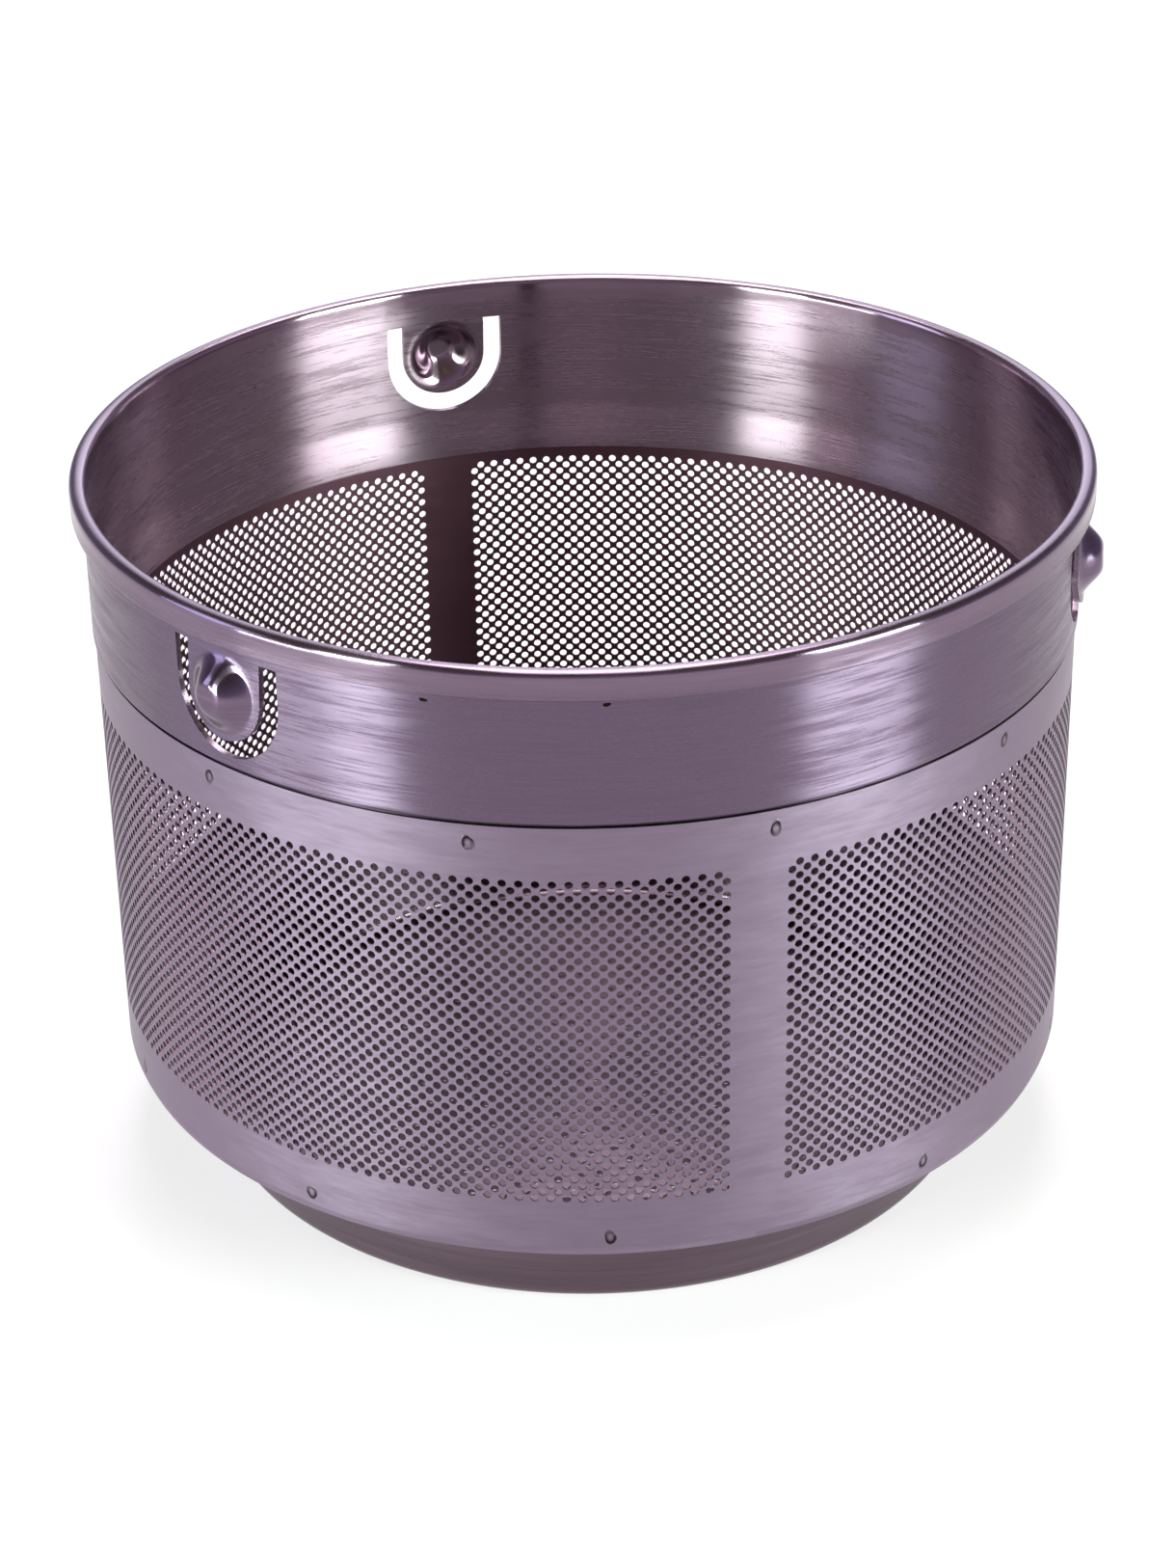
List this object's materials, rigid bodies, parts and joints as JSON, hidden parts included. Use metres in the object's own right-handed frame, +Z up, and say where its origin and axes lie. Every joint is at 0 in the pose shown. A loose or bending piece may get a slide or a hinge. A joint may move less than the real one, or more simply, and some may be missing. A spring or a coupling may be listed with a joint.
{
  "type": "kettle tea filter basket",
  "caption": "Open round steel tea basket with a rolled rim, spring tabs that clip it into a kettle's mouth, a perforated screen wall and a drawn foot with a pierced floor.",
  "frame": {"origin": "centre of the foot's underside, on the basket's axis", "axes": "+Z up along the basket's axis, out of its mouth; +Y towards one of the three spring tabs"},
  "size_m": [0.0894, 0.0908, 0.0653],
  "materials": {
    "brushed_ring": "brushed round the ring",
    "perforated_sheet": "matt rolled sheet",
    "drawn_dish": "satin, drawn"
  },
  "bodies": {
    "root": {"rim_ring": "brushed_ring", "filter_screen": "perforated_sheet", "base_dish": "drawn_dish"}
  },
  "joints": []
}
